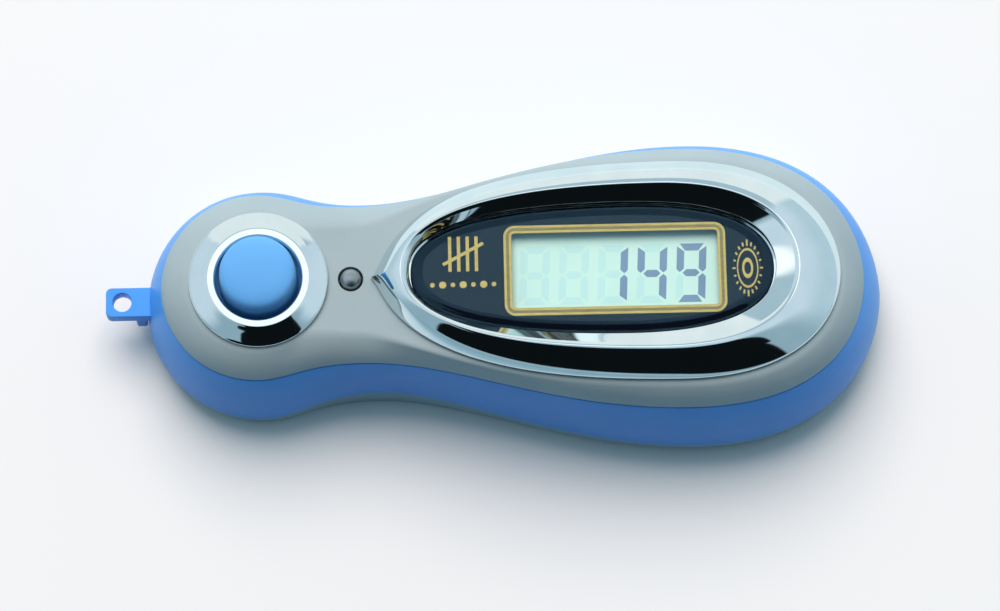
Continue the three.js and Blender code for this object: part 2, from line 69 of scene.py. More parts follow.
# Plan outlines of the case, as the CAD model has them: a round lobe, a waist and a wide end.
SEAM = dict(lobe_x=-30.2, lobe_r=12.3, turn=80, neck=(-17.3, 10.4), wide=(24.5, 17.2), tip_x=47.4,
            pulls=(3, 6.1, 12.3, 17.9, 19.5, 5.6))
BAND = dict(lobe_x=-29.9, lobe_r=14.9, turn=76, neck=(-15.1, 12.3), wide=(25.7, 19.8), tip_x=50,
            pulls=(2.4, 6, 10.7, 16.4, 20.7, 5.6))
CROWN = dict(lobe_x=-29.9, lobe_r=9.1, turn=58, neck=(-17.2, 7.25), wide=(24, 14.9), tip_x=44.5,
             pulls=(2, 3, 4, 27, 16.3, 6))
BASE = dict(lobe_x=-29.9, lobe_r=13.3, turn=76, neck=(-15.1, 11.6), wide=(25.7, 17.6), tip_x=48,
            pulls=(2.2, 5.4, 10.7, 16.4, 19.5, 5))
TRIM_FOOT = dict(start_x=-15.6, wide=(23.4, 14.4), tip_x=44.1, pulls=(2.3, 2.2, 37, 16, 5.8))
TRIM_RIDGE = dict(start_x=-11.7, wide=(21, 10.6), tip_x=38.5, pulls=(0, 5.6, 25, 12, 6))
LENS = dict(start_x=-10.6, wide=(17.2, 8.55), tip_x=35.6, pulls=(0, 2.6, 27, 14.4, 4.4))

CASE_STEPS = (30, 12, 34, 26)
DROP_STEPS = (44, 34)
WALL = 1.5
SEAM_GAP = 0.1
CROWN_RISE = 3.3
TRIM_RISE = 3.1
COUNT_HOLE = 6.4
RESET_HOLE = 1.6
DISPLAY_HOLE = (33.6, 16.2)
SCREWS = range(1, 5)

TAB_LONG = 9.0
TAB_WIDE = 3.95
TAB_PLATE_HIGH = 7.65
TAB_PLATE_LOW = TAB_PLATE_HIGH - 2
TAB_SLOT_X = -43.5
TAB_SLOT_LONG = 7
TAB_EYE_IN = 2.1
TAB_EYE_R = 1.2

COUNT_X = float(np.mean([c[0] for c in cad("count_button")]))
RESET_X = float(np.mean([c[0] for c in cad("reset_button")]))
CELL_X = float(np.mean([c[0] for c in cad("battery_cap")]))
LENS_LOW, LENS_HIGH = cad("display_lens")[0][2], cad("display_lens")[1][2]
GLASS_LOW, GLASS_HIGH = cad("display_panel")
DISPLAY_X = (GLASS_LOW[0] + GLASS_HIGH[0]) / 2


# ---------- curves and outlines ----------

def bezier(control, steps):
    """Points along a Bezier curve with any number of control points."""
    control = np.array(control, float)
    t = np.linspace(0, 1, steps + 1)[:, None]
    last = len(control) - 1
    return sum(math.comb(last, k) * (1 - t) ** (last - k) * t ** k * p for k, p in enumerate(control))


def blend(a, b, share):
    return a + (b - a) * share


def smoothstep(x, low, high):
    t = np.clip((x - low) / (high - low), 0, 1)
    return t * t * (3 - 2 * t)


def seam_z(x):
    """Height of the seam between the cover and the band."""
    return 14.05 - 0.75 * smoothstep(-x, 6, 24) - 1.6 * np.maximum(0, (x - 18) / 28) ** 2


def crown_z(x):
    """Height of the cover's flat top."""
    return seam_z(x) + CROWN_RISE - 0.65 * np.exp(-((x + 16.5) / 4.5) ** 2)


def band_edge_z(x):
    """Height of the band's lower edge."""
    return 4.4 + 1.3 * np.exp(-((x + 13) / 10) ** 2) - 0.9 * smoothstep(-x, 22, 32)


def case_half(plan):
    """Half of a case outline, from the lobe's end round the back to the tip."""
    turn = math.radians(plan["turn"])
    a, b, c, d, e, f = plan["pulls"]
    (neck_x, neck_y), (wide_x, wide_y) = plan["neck"], plan["wide"]
    angles = np.linspace(math.pi, turn, CASE_STEPS[0] + 1)
    ways = np.column_stack([np.cos(angles), np.sin(angles)])
    lobe = ways * plan["lobe_r"] + (plan["lobe_x"], 0)
    leave = lobe[-1]
    along = np.array([math.sin(turn), -math.cos(turn)])
    to_neck = bezier([leave, leave + along * a, (neck_x - b, neck_y), (neck_x, neck_y)], CASE_STEPS[1])
    to_wide = bezier([(neck_x, neck_y), (neck_x + c, neck_y), (wide_x - d, wide_y), (wide_x, wide_y)],
                     CASE_STEPS[2])
    to_tip = bezier([(wide_x, wide_y), (wide_x + e, wide_y), (plan["tip_x"], f), (plan["tip_x"], 0)],
                    CASE_STEPS[3])
    return pinned(np.vstack([lobe, to_neck[1:], to_wide[1:], to_tip[1:]]))


def drop_half(plan):
    """Half of a display-trim outline, from its small end to its tip."""
    dx, dy, before, after, end = plan["pulls"]
    start_x, (wide_x, wide_y), tip_x = plan["start_x"], plan["wide"], plan["tip_x"]
    to_wide = bezier([(start_x, 0), (start_x + dx, dy), (wide_x - before, wide_y), (wide_x, wide_y)],
                     DROP_STEPS[0])
    to_tip = bezier([(wide_x, wide_y), (wide_x + after, wide_y), (tip_x, end), (tip_x, 0)], DROP_STEPS[1])
    return pinned(np.vstack([to_wide, to_tip[1:]]))


def pinned(half):
    """The half outline with both ends exactly on the middle line."""
    half[0, 1] = half[-1, 1] = 0
    return half


def offset(half, distance):
    """The half outline moved outwards along its normals, or inwards for a negative distance."""
    mirrored = half * (1, -1)
    longer = np.vstack([mirrored[1], half, mirrored[-2]])
    along = longer[2:] - longer[:-2]
    along /= np.linalg.norm(along, axis=1)[:, None]
    moved = half + distance * np.column_stack([-along[:, 1], along[:, 0]])
    moved[:, 1] = np.maximum(0, moved[:, 1])
    return pinned(moved)


def ring(half, z):
    """A closed ring of 3-D points, anticlockwise from above; z is a number or a function of x."""
    plan = np.vstack([half * (1, -1), half[-2:0:-1]])
    return lifted(plan, z)


def lifted(plan, z):
    heights = z(plan[:, 0]) if callable(z) else np.full(len(plan), float(z))
    return np.column_stack([plan, heights])


def circle(x, y, radius, steps=96):
    angles = np.arange(steps) * 2 * math.pi / steps
    return np.column_stack([x + radius * np.cos(angles), y + radius * np.sin(angles)])


def rounded_box(x, y, wide, deep, radius, steps=6):
    """A rectangle with round corners, anticlockwise."""
    points = []
    for sx, sy, start in ((1, -1, -90), (1, 1, 0), (-1, 1, 90), (-1, -1, 180)):
        centre = np.array([x + sx * (wide / 2 - radius), y + sy * (deep / 2 - radius)])
        for k in range(steps + 1):
            angle = math.radians(start + 90 * k / steps)
            points.append(centre + radius * np.array([math.cos(angle), math.sin(angle)]))
    return np.array(points)


def grown(loop, distance):
    """A closed anticlockwise plan loop moved outwards, with its corners kept sharp."""
    before, after = np.roll(loop, 1, axis=0), np.roll(loop, -1, axis=0)
    way_in = loop - before
    way_out = after - loop
    way_in /= np.linalg.norm(way_in, axis=1)[:, None]
    way_out /= np.linalg.norm(way_out, axis=1)[:, None]
    normal = np.column_stack([way_in[:, 1] + way_out[:, 1], -way_in[:, 0] - way_out[:, 0]])
    normal /= np.maximum(1e-9, (normal ** 2).sum(1) / 2)[:, None]
    return loop + distance * normal


def filleted(rings, radii, steps=4, looped=False):
    """Stacked rings, with the section's corner at each ring rounded by that ring's radius. A radius of 0
    keeps the ring."""
    out = []
    count = len(rings)
    for i, (here, radius) in enumerate(zip(rings, radii)):
        if not radius or (not looped and i in (0, count - 1)):
            out.append(here)
            continue
        starts = []
        for other in (rings[i - 1], rings[(i + 1) % count]):
            gap = other - here
            length = np.linalg.norm(gap, axis=1)[:, None]
            share = np.minimum(radius, length * 0.48) / np.maximum(length, 1e-9)
            starts.append(here + gap * np.minimum(1, share))
        for t in np.linspace(0, 1, steps + 1):
            out.append((1 - t) ** 2 * starts[0] + 2 * t * (1 - t) * here + t ** 2 * starts[1])
    return out


# ---------- meshes ----------

class Skin:
    """Points and faces of a mesh being made, in millimetres."""

    def __init__(self):
        self.points = []
        self.faces = []

    def add(self, ring_points):
        """Adds points and returns their numbers."""
        start = len(self.points)
        self.points.extend(tuple(map(float, p)) for p in ring_points)
        return list(range(start, len(self.points)))

    def span(self, low, high):
        """A strip of quads between two loops of equal length, facing out when high is above low."""
        count = len(low)
        for i in range(count):
            j = (i + 1) % count
            self.faces.append((low[i], low[j], high[j], high[i]))

    def loft(self, rings, looped=False):
        """A skin over stacked rings. Returns the first and the last loop."""
        loops = [self.add(r) for r in rings]
        for low, high in zip(loops, loops[1:]):
            self.span(low, high)
        if looped:
            self.span(loops[-1], loops[0])
        return loops[0], loops[-1]

    def fan(self, loop, tip, up):
        """Closes a loop with triangles to one point."""
        centre = self.add([tip])[0]
        for i, a in enumerate(loop):
            b = loop[(i + 1) % len(loop)]
            self.faces.append((a, b, centre) if up else (b, a, centre))

    def fill(self, outline, holes=(), z=None, up=True, spacing=None):
        """Fills the area between a loop and hole loops. With a spacing, inner points follow the
        height z(x)."""
        loops = [outline, *holes]
        numbers = [n for loop in loops for n in loop]
        plan = np.array([self.points[n][:2] for n in numbers])
        edges, start = [], 0
        for loop in loops:
            edges += [(start + i, start + (i + 1) % len(loop)) for i in range(len(loop))]
            start += len(loop)
        walls = [np.array([self.points[n][:2] for n in loop]) for loop in loops]
        if spacing:
            (x0, y0), (x1, y1) = plan.min(0), plan.max(0)
            grid = np.array([(x, y) for x in np.arange(x0, x1, spacing) for y in np.arange(y0, y1, spacing)])
            keep = inside(grid, walls[0])
            for wall in walls[1:]:
                keep &= ~inside(grid, wall)
            grid = grid[keep]
            far = np.array([np.hypot(*(plan - g).T).min() > spacing * 0.45 for g in grid])
            grid = grid[far]
            numbers = numbers + self.add(lifted(grid, z))
            plan = np.vstack([plan, grid])
        found = delaunay_2d_cdt([Vector(p) for p in plan], edges, [], 1, 1e-7)
        where = [numbers[same[0]] for same in found[3]]
        triangles = [tuple(where[i] for i in face) for face in found[2]]
        middles = np.array([np.mean([self.points[i][:2] for i in t], axis=0) for t in triangles])
        in_hole = np.zeros(len(triangles), bool)
        for wall in walls[1:]:
            in_hole |= inside(middles, wall)
        for t, hidden in zip(triangles, in_hole):
            if not hidden:
                self.faces.append(t if turns_left(self.points, t) == up else t[::-1])

    def prism(self, outline, low, high, edge=0.0, holes=(), steps=3):
        """A flat plate between two heights, with its outer and hole edges rounded by edge."""
        ends = {False: [], True: []}
        for k, loop in enumerate([outline, *holes]):
            inwards = -edge if k == 0 else edge
            stack = [lifted(grown(loop, inwards), low), lifted(loop, low), lifted(loop, high),
                     lifted(grown(loop, inwards), high)]
            if edge:
                stack = filleted(stack, (0, edge, edge, 0), steps)
            else:
                stack = stack[1:3]
            loops = [self.add(r) for r in stack]
            for a, b in zip(loops, loops[1:]):
                self.span(*((a, b) if k == 0 else (b, a)))
            ends[False].append(loops[0])
            ends[True].append(loops[-1])
        for up, loops in ends.items():
            self.fill(loops[0], loops[1:], up=up)

    def turned(self, profile, x=0.0, y=0.0, segments=96, steps=4):
        """A solid of revolution about a vertical axis. Profile points are (radius, height) or
        (radius, height, rounding), anticlockwise in the section; a profile that starts and ends on the
        axis is closed there, any other is looped."""
        path = [(*p, 0)[:3] for p in profile]
        plan = [lifted(circle(x, y, max(r, 1e-6), segments), z) for r, z, _ in path]
        solid = path[0][0] == 0 and path[-1][0] == 0
        rings = filleted(plan, [p[2] for p in path], steps, looped=not solid)
        if not solid:
            self.loft(rings, looped=True)
            return
        first, last = self.loft(rings[1:-1])
        self.fan(first, (x, y, path[0][1]), up=False)
        self.fan(last, (x, y, path[-1][1]), up=True)


def inside(points, loop):
    """Which plan points lie inside a closed loop."""
    x, y = points[:, 0], points[:, 1]
    result = np.zeros(len(points), bool)
    for (x0, y0), (x1, y1) in zip(loop, np.roll(loop, -1, axis=0)):
        crosses = (y0 > y) != (y1 > y)
        result ^= crosses & (x < (x1 - x0) * (y - y0) / (y1 - y0 + 1e-30) + x0)
    return result


def turns_left(points, triangle):
    (ax, ay, _), (bx, by, _), (cx, cy, _) = (points[i] for i in triangle)
    return (bx - ax) * (cy - ay) - (by - ay) * (cx - ax) > 0


def raw_object(name, skin):
    mesh = bpy.data.meshes.new(name)
    mesh.from_pydata([Vector(p) * MM for p in skin.points], [], skin.faces)
    mesh.validate()
    made = bpy.data.objects.new(name, mesh)
    bpy.context.scene.collection.objects.link(made)
    return made


def combined(made, tools, operation):
    """The object with closed tool skins joined to it or cut from it."""
    for skin in tools:
        tool = raw_object("tool", skin)
        step = made.modifiers.new("step", "BOOLEAN")
        step.operation, step.solver, step.object = operation, "EXACT", tool
        graph = bpy.context.evaluated_depsgraph_get()
        result = bpy.data.meshes.new_from_object(made.evaluated_get(graph))
        made.modifiers.clear()
        made.data = result
        bpy.data.objects.remove(tool)
    return made


def finished(made, paint, body="case", stands_for=(), slot=None, crease=38):
    """Smooth shading, material, body and the CAD nodes that the piece stands for."""
    mesh = made.data
    mesh.materials.clear()
    mesh.materials.append(paint)
    mesh.shade_smooth()
    mesh.set_sharp_from_angle(angle=math.radians(crease))
    even = made.modifiers.new("even_normals", "WEIGHTED_NORMAL")
    even.keep_sharp = True
    even.weight = 60
    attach(made, body)
    if stands_for:
        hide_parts(*stands_for)
    return made


def piece(name, skin, paint, **how):
    return finished(raw_object(name, skin), paint, **how)


# ---------- material helpers ----------

def node(tree, kind, inputs=None, **settings):
    """Adds a shader node, sets its properties, and links or sets its inputs."""
    made = tree.nodes.new("ShaderNode" + kind)
    for key, value in settings.items():
        setattr(made, key, value)
    for key, value in (inputs or {}).items():
        if isinstance(value, bpy.types.NodeSocket):
            tree.links.new(value, made.inputs[key])
        else:
            made.inputs[key].default_value = value
    return made


def calc(tree, operation, *values):
    made = node(tree, "Math", dict(enumerate(values)), operation=operation)
    return made.outputs[0]


def between(tree, value, low, high):
    """0 below low, 1 above high, smooth between them."""
    made = node(tree, "MapRange", {"Value": value, "From Min": low, "From Max": high},
                interpolation_type="SMOOTHSTEP")
    return made.outputs[0]


def window(tree, value, rise, fall):
    """1 between a rising and a falling edge, each given as its start and end, and 0 outside them."""
    return calc(tree, "MULTIPLY", between(tree, value, *rise),
                calc(tree, "SUBTRACT", 1.0, between(tree, value, *fall)))


def mixed(tree, share, a, b):
    made = node(tree, "Mix", {0: share, 6: a, 7: b}, data_type="RGBA")
    return made.outputs[2]


def rgb(r, g, b):
    """A shader colour from screen values of 0 to 255."""
    linear = [(v / 255 / 12.92) if v <= 10 else ((v / 255 + 0.055) / 1.055) ** 2.4 for v in (r, g, b)]
    return (*linear, 1.0)


def blank(name):
    """A new material: its tree, its Principled shader and its object coordinates."""
    paint = bpy.data.materials.new(name)
    paint.use_nodes = True
    tree = paint.node_tree
    return paint, tree, tree.nodes["Principled BSDF"], node(tree, "TexCoord").outputs["Object"]


def noise(tree, place, size_mm, detail=3.0, roughness=0.5):
    made = node(tree, "TexNoise", {"Vector": place, "Scale": 1 / (size_mm * MM), "Detail": detail,
                                   "Roughness": roughness})
    return made.outputs["Fac"]


def bump(tree, shader, height, depth_mm, strength=1.0):
    made = node(tree, "Bump", {"Height": height, "Distance": depth_mm * MM, "Strength": strength})
    tree.links.new(made.outputs["Normal"], shader.inputs["Normal"])


def plastic(name, light, dark, gloss=0.4, grain_mm=0.12, grain_depth=0.004, specular=0.5):
    """Moulded plastic: fine sparkled grain, a slow drift of tone and slightly uneven gloss."""
    paint, tree, shader, place = blank(name)
    drift = noise(tree, place, 9, detail=2)
    fine = noise(tree, place, grain_mm, detail=4, roughness=0.6)
    share = calc(tree, "ADD", calc(tree, "MULTIPLY", drift, 0.7), calc(tree, "MULTIPLY", fine, 0.3))
    tree.links.new(mixed(tree, between(tree, share, 0.3, 0.7), light, dark), shader.inputs["Base Color"])
    rough = node(tree, "MapRange", {"Value": fine, "From Min": 0.3, "From Max": 0.7,
                                    "To Min": gloss - 0.05, "To Max": gloss + 0.06})
    tree.links.new(rough.outputs[0], shader.inputs["Roughness"])
    shader.inputs["Specular IOR Level"].default_value = specular
    bump(tree, shader, fine, grain_depth, 0.6)
    return paint


def metal(name, light, dark, gloss=0.06, haze=0.03, depth=0.0006):
    """Plated or bare metal with faint cloudiness and fine handling marks."""
    paint, tree, shader, place = blank(name)
    shader.inputs["Metallic"].default_value = 1.0
    cloud = noise(tree, place, 5, detail=4)
    stretched = node(tree, "Mapping", {"Vector": place, "Rotation": (0.3, 0.2, 0.7), "Scale": (1, 12, 1)})
    marks = noise(tree, stretched.outputs[0], 0.5, detail=5, roughness=0.7)
    tree.links.new(mixed(tree, between(tree, cloud, 0.35, 0.65), light, dark), shader.inputs["Base Color"])
    both = calc(tree, "ADD", calc(tree, "MULTIPLY", cloud, 0.5), calc(tree, "MULTIPLY", marks, 0.5))
    rough = node(tree, "MapRange", {"Value": both, "From Min": 0.35, "From Max": 0.7,
                                    "To Min": gloss, "To Max": gloss + haze})
    tree.links.new(rough.outputs[0], shader.inputs["Roughness"])
    bump(tree, shader, marks, depth, 0.5)
    return paint


def gilt(name, light, dark, worn):
    """Gold ink on the underside of the lens, with streaks along its length where it is worn."""
    paint, tree, shader, place = blank(name)
    shader.inputs["Metallic"].default_value = 0.35
    along = node(tree, "Mapping", {"Vector": place, "Scale": (0.25, 2.2, 1)})
    streaks = noise(tree, along.outputs[0], 0.35, detail=5, roughness=0.65)
    specks = noise(tree, place, 0.22, detail=3)
    base = mixed(tree, between(tree, streaks, 0.35, 0.62), light, dark)
    tree.links.new(mixed(tree, between(tree, specks, 0.63, 0.75), base, worn), shader.inputs["Base Color"])
    rough = node(tree, "MapRange", {"Value": streaks, "To Min": 0.3, "To Max": 0.5})
    tree.links.new(rough.outputs[0], shader.inputs["Roughness"])
    bump(tree, shader, specks, 0.004, 0.5)
    return paint


def clear(name, light, dark):
    """A clear moulded window: what is behind shows through, with a bluish gloss by angle, up to a
    limit, on the way in."""
    paint, tree, shader, place = blank(name)
    shader.inputs["Metallic"].default_value = 1.0
    wisps = noise(tree, place, 2.5, detail=5, roughness=0.7)
    tree.links.new(mixed(tree, wisps, light, dark), shader.inputs["Base Color"])
    rough = node(tree, "MapRange", {"Value": wisps, "From Min": 0.45, "From Max": 0.75,
                                    "To Min": 0.02, "To Max": 0.07})
    tree.links.new(rough.outputs[0], shader.inputs["Roughness"])
    see = node(tree, "BsdfTransparent", {"Color": (0.97, 0.99, 1.0, 1.0)})
    gloss = calc(tree, "MINIMUM", node(tree, "Fresnel", {"IOR": 1.62}).outputs[0], 0.08)
    front = calc(tree, "SUBTRACT", 1.0, node(tree, "NewGeometry").outputs["Backfacing"])
    share = calc(tree, "MULTIPLY", gloss, front)
    both = node(tree, "MixShader", {0: share, 1: see.outputs[0], 2: shader.outputs[0]})
    tree.links.new(both.outputs[0], tree.nodes["Material Output"].inputs["Surface"])
    return paint


GREY = plastic("grey_plastic", rgb(164, 180, 185), rgb(157, 174, 180), gloss=0.42, specular=0.5)
BLUE = plastic("blue_plastic", rgb(78, 160, 244), rgb(69, 152, 239), gloss=0.36, specular=0.5)
BUTTON = plastic("button_plastic", rgb(104, 174, 236), rgb(95, 167, 232), gloss=0.38, specular=0.55)
CHROME = metal("chrome", rgb(228, 238, 240), rgb(221, 233, 236), gloss=0.03)
GUNMETAL = metal("gunmetal", rgb(186, 192, 194), rgb(160, 166, 169), gloss=0.34, haze=0.08, depth=0.002)
PRINT = plastic("navy_print", rgb(11, 16, 25), rgb(9, 13, 21), gloss=0.3, grain_mm=4, grain_depth=0.001,
                specular=0.0)
GOLD = gilt("gilt_bright", rgb(224, 194, 98), rgb(206, 176, 84), rgb(130, 114, 60))
GOLD_DEEP = gilt("gilt_deep", rgb(160, 140, 76), rgb(136, 120, 66), rgb(90, 80, 46))
CLEAR = clear("clear_lens", (0.36, 0.70, 1.0, 1.0), (0.44, 0.76, 1.0, 1.0))
REFLECTOR = plastic("display_reflector", rgb(218, 245, 228), rgb(211, 241, 224), gloss=0.55, grain_mm=0.3,
                    grain_depth=0.002, specular=0.1)
SEGMENT = plastic("segment_on", rgb(134, 156, 180), rgb(122, 144, 170), gloss=0.4, grain_depth=0.001,
                  specular=0.1)
GHOST = plastic("segment_off", rgb(205, 238, 228), rgb(199, 234, 225), gloss=0.5, grain_depth=0.001,
                specular=0.1)
GLASS_EDGE = plastic("display_glass", rgb(150, 180, 172), rgb(130, 160, 156), gloss=0.2)
SCREW = metal("screw_steel", rgb(150, 152, 156), rgb(120, 122, 128), gloss=0.25, haze=0.1, depth=0.003)
WHITE = plastic("white_plastic", rgb(232, 232, 226), rgb(222, 222, 216), gloss=0.5)
RUBBER = plastic("black_rubber", rgb(34, 34, 36), rgb(24, 24, 26), gloss=0.75, grain_depth=0.008)
LAMINATE = plastic("board_laminate", rgb(40, 104, 62), rgb(30, 84, 48), gloss=0.4, grain_mm=0.5)
EPOXY = plastic("epoxy", rgb(24, 24, 28), rgb(16, 16, 18), gloss=0.3, grain_mm=0.6)
CERAMIC = plastic("ceramic_black", rgb(30, 30, 32), rgb(20, 20, 22), gloss=0.5)
TAN = plastic("ceramic_tan", rgb(190, 162, 120), rgb(172, 146, 104), gloss=0.5)
SWITCH = plastic("switch_plastic", rgb(42, 42, 44), rgb(30, 30, 32), gloss=0.5)
SHEET = metal("sheet_steel", rgb(206, 208, 210), rgb(184, 186, 190), gloss=0.2, haze=0.1)
CELL = metal("cell_steel", rgb(214, 216, 218), rgb(198, 200, 204), gloss=0.12, haze=0.1)
TAPE = plastic("adhesive", rgb(232, 232, 224), rgb(222, 222, 212), gloss=0.6)

SLOT_PAINT = {
    "grey_plastic": GREY, "blue_plastic": BLUE, "blue_button": BUTTON, "gunmetal_button": GUNMETAL,
    "chrome": CHROME, "clear_lens": PRINT, "adhesive": TAPE, "display_glass": GLASS_EDGE,
    "white_plastic": WHITE, "black_rubber": RUBBER, "board_laminate": LAMINATE, "epoxy": EPOXY,
    "ceramic_black": CERAMIC, "ceramic_tan": TAN, "switch_plastic": SWITCH, "sheet_steel": SHEET,
    "cell_steel": CELL, "screw_steel": SCREW,
}


def repaint_cad_nodes():
    """Gives every CAD node the procedural material of its slot in the record."""
    for row in frame["record"]["subparts"]:
        mesh = frame["nodes"][row["node"]].data
        mesh.materials.clear()
        mesh.materials.append(SLOT_PAINT[row["material_slot"]])


# ---------- case ----------

def shoulder(seam, crown, drop, steps):
    """Rings from the seam up the cover's shoulder, stopping short of the flat top's edge."""
    curve = bezier([(0, 0), (0.22, 0.6), (1, 1)], 40)[:36]
    picked = curve[np.linspace(0, len(curve) - 1, steps).round().astype(int)]
    return [ring(blend(seam, crown, share), lambda x, r=rise: blend(seam_z(x), crown_z(x), r) - drop * r)
            for share, rise in picked]


def rolled(start, corner, end, steps):
    """Rings along the quadratic curve from one ring to another, drawn towards a corner ring. The first
    ring is left out."""
    return [(1 - t) ** 2 * start + 2 * t * (1 - t) * corner + t ** 2 * end
            for t in np.linspace(0, 1, steps + 1)[1:]]


def cover():
    """The grey top half, with its button holes and the opening under the display."""
    skin = Skin()
    seam, crown = case_half(SEAM), case_half(CROWN)
    inner_seam, inner_crown = offset(seam, -WALL), offset(crown, -0.8)
    lip_round, crease = 0.14, 0.6
    outer = shoulder(seam, crown, 0, 18)
    outer += rolled(outer[-1], ring(crown, crown_z), ring(offset(crown, -crease), crown_z), 6)
    under = lambda x: crown_z(x) - WALL
    inner = shoulder(inner_seam, inner_crown, WALL, 8)
    inner += rolled(inner[-1], ring(inner_crown, under), ring(offset(inner_crown, -0.5), under), 3)
    lip = ring(inner_seam, seam_z)
    skirt = [lip, outer[0]]
    rings = filleted([*inner[::-1], *skirt, *outer[1:]],
                     [0] * (len(inner) - 1) + [0, 0.1, lip_round] + [0] * (len(outer) - 1))
    first, last = skin.loft(rings)
    holes = [
        (circle(COUNT_X, 0, COUNT_HOLE), 0.1),
        (circle(RESET_X, 0, RESET_HOLE, 48), 0.16),
        (rounded_box(DISPLAY_X, 0, *DISPLAY_HOLE, 1), 0.1),
    ]
    tops, bottoms = [], []
    for loop, edge in holes:
        stack = filleted([lifted(grown(loop, edge), crown_z), lifted(loop, crown_z), lifted(loop, under)],
                         (0, edge, 0))
        loops = [skin.add(r) for r in stack]
        for above, below in zip(loops, loops[1:]):
            skin.span(above, below)
        tops.append(loops[0])
        bottoms.append(loops[-1])
    skin.fill(last, tops, crown_z, up=True, spacing=1.6)
    skin.fill(first, bottoms, under, up=False, spacing=3)
    made = raw_object("cover", skin)
    bosses = []
    bore, bore_end, wide, foot, reach = 1, 11, 2.1, 5.3, 15
    for number in SCREWS:
        boss = Skin()
        boss.turned([(0, bore_end), (bore, bore_end), (bore, foot), (wide, foot, 0.2), (wide, reach),
                     (0, reach)], *screw_place(number), 32)
        bosses.append(boss)
    combined(made, bosses, "UNION")
    return finished(made, GREY, stands_for=["top_shell"], slot="grey_plastic")


def band():
    """The blue hoop between the two grey halves, with the slot that the lanyard tab passes through."""
    skin = Skin()
    seam, outline = case_half(SEAM), case_half(BAND)

    def at(depth):
        return lambda x: blend(seam_z(x) - SEAM_GAP, band_edge_z(x), depth)

    flank = bezier([(0, 0), (0.9, 0.45), (1, 1)], 18)[:-1]
    side = [ring(blend(seam, outline, share), at(depth)) for share, depth in flank]
    rings = [ring(offset(outline, -1.9), at(1)), ring(offset(outline, -0.05), at(1)), *side[::-1],
             ring(offset(seam, -1.3), at(0))]
    radii = [0.1, 0.22] + [0] * (len(side) - 1) + [0.16, 0.1]
    skin.loft(filleted(rings, radii, looped=True), looped=True)
    made = raw_object("band", skin)
    slot = Skin()
    slot.prism(rounded_box(TAB_SLOT_X, 0, TAB_SLOT_LONG, TAB_WIDE + 2 * SEAM_GAP, 0.3),
               TAB_PLATE_LOW - SEAM_GAP, TAB_PLATE_HIGH + SEAM_GAP)
    combined(made, [slot], "DIFFERENCE")
    return finished(made, BLUE, stands_for=["side_band"], slot="blue_plastic")


def base():
    """The grey bottom half, with its screw wells and the battery opening."""
    skin = Skin()
    foot = case_half(BASE)
    rim = offset(case_half(BAND), -0.2)
    rim_z = lambda x: band_edge_z(x) - SEAM_GAP
    floor_z = 1.5
    curve = bezier([(0.42, 0.04), (0.98, 0.12), (1, 1)], 14)
    outer = [ring(foot, 0.0)]
    outer += [ring(blend(foot, rim, share), lambda x, r=rise: r * rim_z(x)) for share, rise in curve]
    inner = [
        ring(offset(rim, -WALL), rim_z),
        ring(offset(blend(foot, rim, 0.8), -WALL), floor_z + 0.9),
        ring(offset(foot, -WALL), floor_z),
    ]
    flat = ring(offset(foot, -0.6), 0.0)
    rings = [flat, *outer, *inner, ring(offset(foot, -WALL - 0.6), floor_z)]
    radii = [0, 0.5, 0.4] + [0] * (len(outer) - 3) + [0.12, 0.1, 0.6, 0.4, 0]
    first, last = skin.loft(filleted(rings, radii))
    well, well_deep, bore, post, post_high = 2.1, 2.05, 1.15, 2.5, 5.2
    screw_well = [(well, 0, 0.12), (well, well_deep), (bore, well_deep), (bore, post_high),
                  (post, post_high), (post, floor_z)]
    door, door_deep, throat, pit, pit_wall, pit_high = 8.5, 0.95, 6.8, 8.4, 9.4, 7.2
    cell_well = [(door, 0, 0.15), (door, door_deep), (throat, door_deep), (throat, floor_z),
                 (pit, floor_z), (pit, pit_high), (pit_wall, pit_high), (pit_wall, floor_z)]
    profiles = [(*screw_place(number), screw_well) for number in SCREWS]
    profiles.append((CELL_X, 0, cell_well))
    bottoms, tops = [], []
    for x, y, profile in profiles:
        segments = 96 if profile[0][0] > 5 else 40
        edge = profile[0][2]
        stack = [lifted(circle(x, y, r, segments), z) for r, z, *_ in profile]
        mouth = lifted(circle(x, y, profile[0][0] + edge, segments), 0)
        stack = filleted([mouth, *stack], [0, edge] + [0] * (len(stack) - 1))
        loops = [skin.add(r) for r in stack]
        for a, b in zip(loops, loops[1:]):
            skin.span(b, a)
        bottoms.append(loops[0])
        tops.append(loops[-1])
    skin.fill(first, bottoms, up=False)
    skin.fill(last, tops, up=True)
    return piece("base", skin, GREY, stands_for=["bottom_shell"], slot="grey_plastic")


def screw_place(number):
    low, high = cad(f"case_screw_{number}")
    x, y = (low[:2] + high[:2]) / 2
    return float(x), float(y)


def lanyard_tab():
    """The blue tab with its eye, and the web under it where it enters the band."""
    skin = Skin()
    end_x = cad("lanyard_tab")[0][0]
    eye = circle(end_x + TAB_EYE_IN, 0, TAB_EYE_R, 40)
    skin.prism(rounded_box(end_x + TAB_LONG / 2, 0, TAB_LONG, TAB_WIDE, 0.75), TAB_PLATE_LOW,
               TAB_PLATE_HIGH, 0.28, holes=[eye], steps=4)
    web = Skin()
    web_x, web_long, web_wide, web_foot = -45.6, 1.4, 3.6, 2.5
    web.prism(rounded_box(web_x, 0, web_long, web_wide, 0.3), web_foot, TAB_PLATE_LOW + 0.5, 0.15)
    made = combined(raw_object("lanyard_tab_eye", skin), [web], "UNION")
    return finished(made, BLUE, stands_for=["lanyard_tab"], slot="blue_plastic")


# ---------- display ----------

